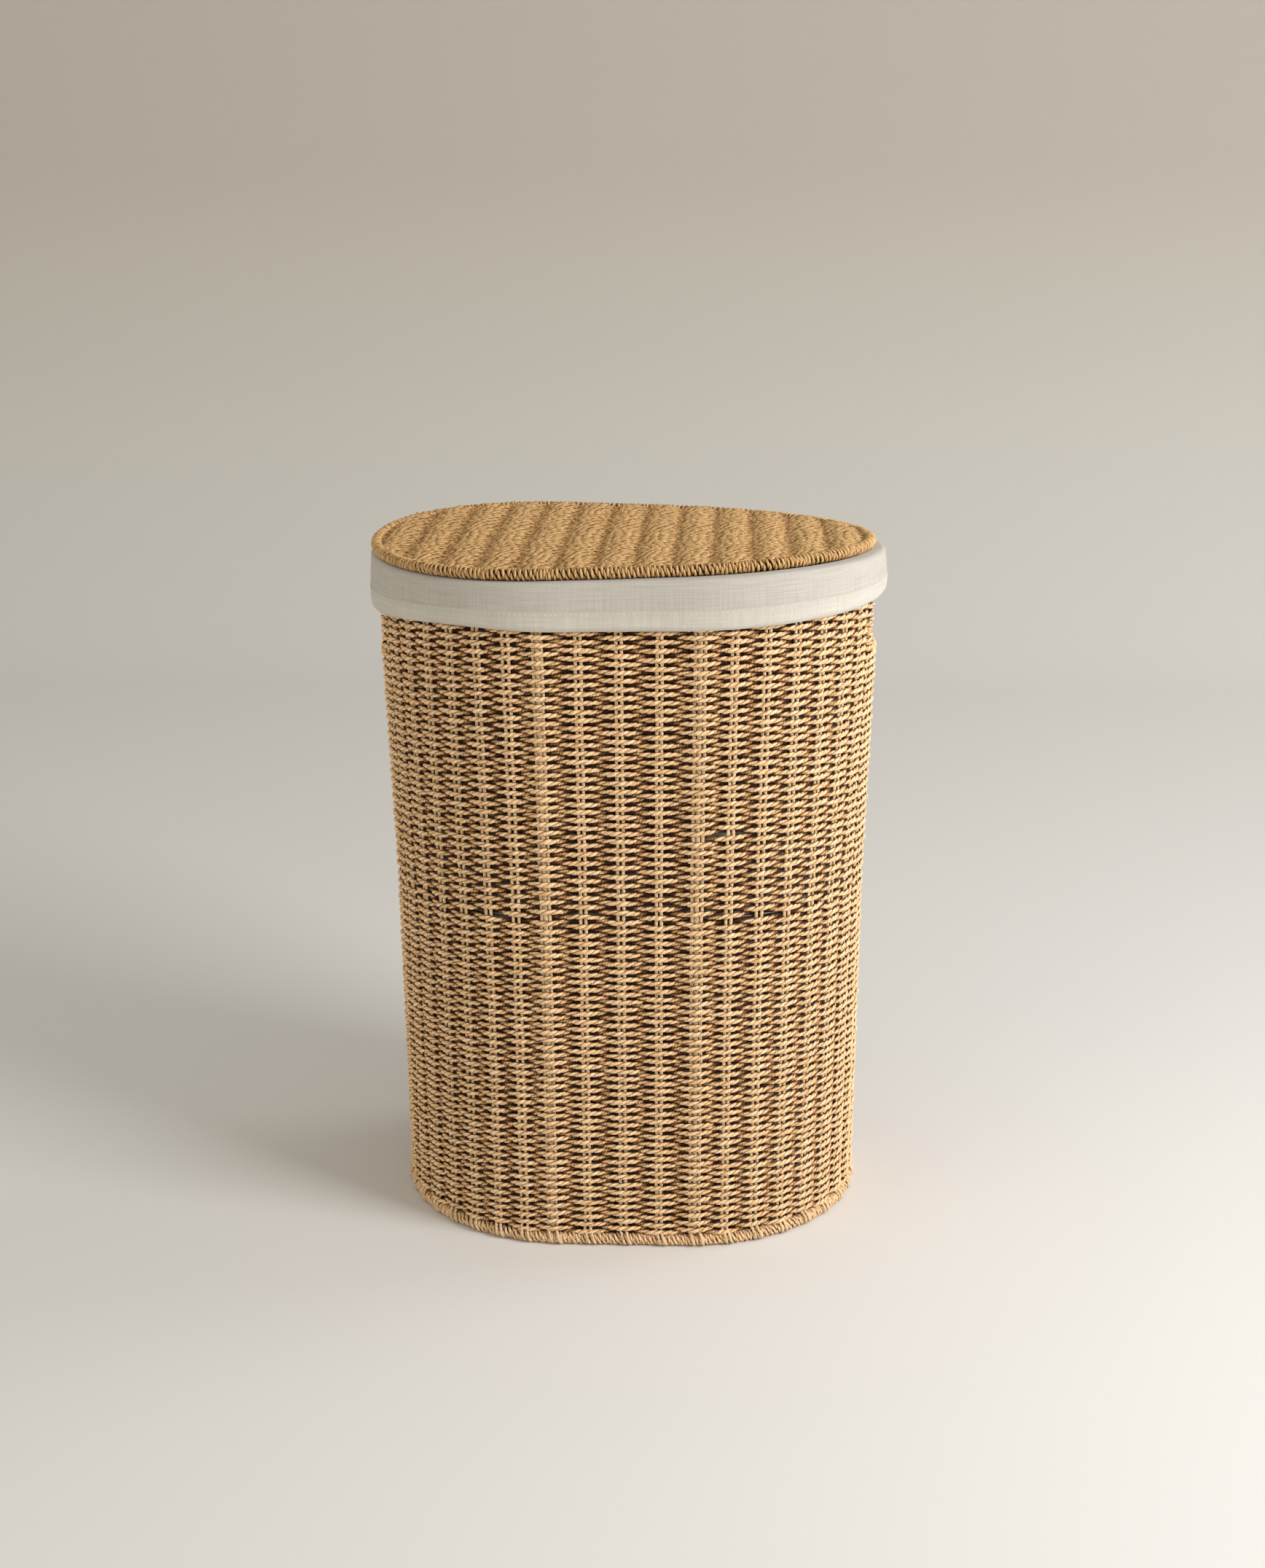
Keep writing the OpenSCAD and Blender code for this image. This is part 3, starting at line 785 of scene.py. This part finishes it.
def cloth_tube(name, profile, material, ruffle, columns=520, thick=CLOTH):
    """A closed tube of cloth round the oval from a profile of (radius, height) points. ruffle(share,
    distance up the cloth, height) gives how far it stands out and is lifted."""
    gone = gone_along(profile)
    share = np.arange(columns) / columns
    grid = []
    for (radius, z), at in zip(profile, gone):
        shift, lift = ruffle(share, at, z)
        x, y, nx, ny = oval(share, radius)
        grid.append(np.stack([x + nx * shift, y + ny * shift, z + lift], 1))
    faces = grid_faces(len(profile), columns, wrap=True)
    i, k = np.divmod(np.arange((len(profile) - 1) * columns), columns)
    around = 4 * (SPINE + 0.165 * math.pi / 2) / columns
    u = np.stack([k, k + 1, k + 1, k], 1) * around
    v = np.stack([gone[i], gone[i], gone[i + 1], gone[i + 1]], 1)
    made = add_mesh(name, np.array(grid), faces, material, np.stack([u, v], 2), "cloth")
    thicken(made, thick, 0.0)
    return made


fold = np.linspace(0, math.pi / 2, 7)[1:-1]
side_heights = np.concatenate([np.linspace(LINER_LOW, 0.30, 30), np.linspace(0.305, 0.585, 32)])
top_r = liner_radius(CUFF_TOP)
cuff_z = np.linspace(0.5895, CUFF_LOW, 16)
liner_profile = np.array(
    [(liner_radius(z), z) for z in side_heights]
    + [(top_r, FOLD_Z)]
    + [(top_r + FOLD_R * (1 - math.cos(a)), FOLD_Z + FOLD_R * math.sin(a)) for a in fold]
    + [(r, CUFF_TOP + 0.0003) for r in np.linspace(top_r + FOLD_R, CUFF_R - FOLD_R, 4)]
    + [(CUFF_R - FOLD_R * (1 - math.sin(a)), FOLD_Z + FOLD_R * math.cos(a)) for a in fold]
    + [
        (CUFF_R + 0.0011 * math.sin(math.pi * k / 15) - 0.0020 * max(k / 15 - 0.75, 0) / 0.25, z)
        for k, z in enumerate(cuff_z)
    ]
)


def cuff_lift(share, down):
    """The cuff's top follows the lid's warp, and its lower edge hangs lower at the left end."""
    x, y, nx, ny = oval(share, CUFF_R)
    top = 0.0030 - WARP * x * y / (WARP_AT[0] * WARP_AT[1])
    front = (share + 0.5) % 1.0 - 0.5
    dip = 0.0034 * np.exp(-((front + 0.11) / 0.05) ** 2)
    dip = dip - 0.0045 * np.exp(-((np.abs(front) - 0.25) / 0.06) ** 2) * (front < 0)
    return (1 - down) * top + down * (0.0045 * x / 0.22 - 0.0008 + dip)


def cuff_down(z):
    """How far down the cuff a height is, from 0 at its top to 1 at its lower edge."""
    return np.clip((CUFF_TOP - z) / (CUFF_TOP - CUFF_LOW), 0, 1)


def cuff_ripple(share):
    return 0.00035 * smooth_noise(share, (6, 13, 29), 72)


def cuff_wave(share):
    return 0.0004 * smooth_noise(share, (3, 5, 9), 73)


def folds_in(share, z):
    """How far the soft upright folds inside stand in from the wall; they die out at both ends."""
    slack = np.sin(math.pi * np.clip((z - LINER_LOW) / 0.57, 0, 1)) ** 0.7
    folds = 0.5 + 0.5 * smooth_noise(share, (7, 11, 17, 23), 70)
    return 0.0045 * slack * (folds + 0.25 * smooth_noise(share, (5, 13), 71) * np.sin(z * 12))


def liner_ruffle(share, at, z):
    """Folds inside the basket, and faint ripples in the cuff."""
    inward = folds_in(share, z) if at < RIM_FROM else 0.0
    ripple = cuff_ripple(share) * np.clip((at - CUFF_FROM) / 0.03, 0, 1)
    wave = cuff_wave(share) * np.clip((at - CUFF_FROM - 0.005) / 0.03, 0, 1)
    down = cuff_down(z) if at > CUFF_FROM else 0.0
    raised = np.clip((at - 0.54) / 0.035, 0, 1)
    return ripple - inward, wave + raised * cuff_lift(share, down)


liner = cloth_tube("liner_bag", liner_profile, liner_linen, liner_ruffle)
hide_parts("liner_side", "liner_rim_fold", "liner_cuff")
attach(liner, "liner")

# Cuff hem: the lower edge is turned up twice, 16 mm deep, so it is thicker and paler than the cuff.
hem_linen = cloth_material("hem linen", (0.45, 0.418, 0.364), (0.60, 0.568, 0.512), (0.475, 0.447, 0.40))
hem_z = np.linspace(CUFF_LOW + 0.003, CUFF_LOW + 0.0135, 9)
hem_profile = np.array(
    [(CUFF_R - 0.0022, CUFF_LOW + 0.0004), (CUFF_R - 0.0016, CUFF_LOW), (CUFF_R - 0.0009, CUFF_LOW + 0.0006)]
    + [(CUFF_R + 0.0008 * math.sin(math.pi / 2 * (k + 1) / 9) + 0.0009, z) for k, z in enumerate(hem_z)]
    + [(CUFF_R + 0.0016, CUFF_LOW + 0.0150), (CUFF_R + 0.0012, CUFF_LOW + 0.0156)]
)


def hem_ruffle(share, at, z):
    """The cuff's ripples, and the small puckers of the stitching."""
    pucker = 0.00012 * smooth_noise(share, (91, 127, 163), 75)
    return cuff_ripple(share) + pucker, cuff_wave(share) + cuff_lift(share, cuff_down(z))


hem = cloth_tube("cuff_hem_band", hem_profile, hem_linen, hem_ruffle, 720, 0.0005)
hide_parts("cuff_hem")
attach(hem, "liner")

# Liner bottom: an oval of the same cloth, lying on the woven base with a faint billow.
COLUMNS, RINGS = 240, 40
bottom_r = liner_radius(LINER_LOW) - 0.0006
bottom_z = LINER_LOW + 0.0003
share = np.arange(COLUMNS) / COLUMNS
x, y, nx, ny = oval(share, bottom_r)
spots = [np.array([[0.0, 0.0, bottom_z]])]
for share_out in np.linspace(0, 1, RINGS + 1)[1:]:
    billow = 0.0005 * smooth_noise(share, (3, 7, 12), 80) * math.sin(math.pi * share_out)
    spots.append(np.stack([x * share_out, y * share_out, bottom_z + np.abs(billow)], 1))
spots = np.concatenate(spots)
rim = grid_faces(RINGS, COLUMNS, wrap=True) + 1
hub = np.stack([np.zeros(COLUMNS, int), np.arange(COLUMNS) + 1, (np.arange(COLUMNS) + 1) % COLUMNS + 1], 1)
uvs = np.concatenate([spots[rim][:, :, :2].reshape(-1, 2), spots[hub][:, :, :2].reshape(-1, 2)])
bottom = add_mesh("liner_bottom_cloth", spots, [rim, hub], liner_linen, uvs, "cloth")
thicken(bottom, CLOTH, 1.0)
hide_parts("liner_bottom")
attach(bottom, "liner")

# Liner seams: the bottom is sewn to the tube with a corded seam, and the tube is closed by one felled
# seam up the middle of its back.
CORD_R, CORD_SIDES, GATHER = 0.0012, 8, 0.006
share = np.arange(481) / 480
x, y, nx, ny = oval(share, bottom_r - CORD_R)
middle = np.stack([x, y, np.full_like(x, LINER_LOW + 0.0023)], 1)
around = gone_along(middle)
gathered = 1 + 0.10 * np.sin(2 * math.pi * around / GATHER)
out = np.stack([nx, ny, 0 * nx], 1)
rise = np.tile([0.0, 0.0, 1.0], (len(x), 1))
rings = tube_rings(middle, out, rise, np.outer(CORD_R * gathered, np.ones(CORD_SIDES)), CORD_SIDES)
faces, uv, _, _ = tube_parts(rings, around, 0)
seam = add_mesh("liner_bottom_seam_roll", rings, faces, hem_linen, uv * (1.0, 0.0075), "cloth")
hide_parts("liner_bottom_seam")
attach(seam, "liner")

seam_z = np.linspace(LINER_LOW + 0.005, 0.5915, 150)
behind = wall_radius(seam_z) - LINER_GAP - folds_in(np.full_like(seam_z, 0.5), seam_z)
section = np.array([
    (-0.004, 0.0), (-0.0036, 0.0008), (0.0, 0.0010), (0.0036, 0.0008),
    (0.004, 0.0), (0.0036, -0.0004), (0.0, -0.0004), (-0.0036, -0.0004),
])
strip = np.stack([
    np.tile(section[:, 0], (len(seam_z), 1)) + 0.0003 * smooth_noise(seam_z, (9, 23), 81)[:, None],
    behind[:, None] - 0.0004 - section[:, 1][None],
    np.tile(seam_z[:, None], (1, len(section))),
], 2)
faces, uv, caps, cap_uv = tube_parts(strip, seam_z, 0)
uvs = np.concatenate([uv.reshape(-1, 2), cap_uv.reshape(-1, 2)]) * (1.0, 0.016)
side_seam = add_mesh("liner_side_seam_fell", strip, [faces, caps], hem_linen, uvs, "cloth")
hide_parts("liner_side_seam")
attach(side_seam, "liner")

# Hem stitches: one line of running stitches in a thick warm white thread, about 4 mm apart, near the
# hem's upper edge.
STITCHES, STITCH_UP, THREAD_R = 310, 0.0134, 0.00028
thread, tree, shader = new_material("sewing thread")
where = add_node(tree, "ShaderNodeTexCoord")
twine = add_node(
    tree, "ShaderNodeTexNoise", {"Vector": where.outputs["Object"], "Scale": 900.0, "Detail": 1.0})
twisted = mix_colours(tree, twine.outputs["Fac"], (0.60, 0.54, 0.43), (0.80, 0.75, 0.65))
tree.links.new(twisted, shader.inputs["Base Color"])
add_bump(tree, shader, twine.outputs["Fac"], 0.3, 0.0001)
shader.inputs["Roughness"].default_value = 0.7
along = np.linspace(-1, 1, 7)
lines = []
for number in range(STITCHES):
    share = (number + 0.36 * along) / STITCHES
    x, y, nx, ny = oval(share, CUFF_R + 0.0019)
    sink = 0.0006 * (1 - along ** 4) - 0.0004 + cuff_ripple(share)
    wave = cuff_wave(share) + cuff_lift(share, 1 - STITCH_UP / (CUFF_TOP - CUFF_LOW))
    middle = np.stack([x + nx * sink, y + ny * sink, CUFF_LOW + STITCH_UP + wave], 1)
    out = np.stack([nx, ny, 0 * nx], 1)
    rise = np.tile([0.0, 0.0, 1.0], (len(along), 1))
    lines.append((middle, out, rise, along * 0.0014, 1 - 0.3 * along ** 2, None, 0.0))
stitches = rope_piece("hem_stitches", lines, thread, THREAD_R, 0.0, 0.01, 6, 1, 0.0)
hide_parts("hem_stitching")
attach(stitches, "liner")
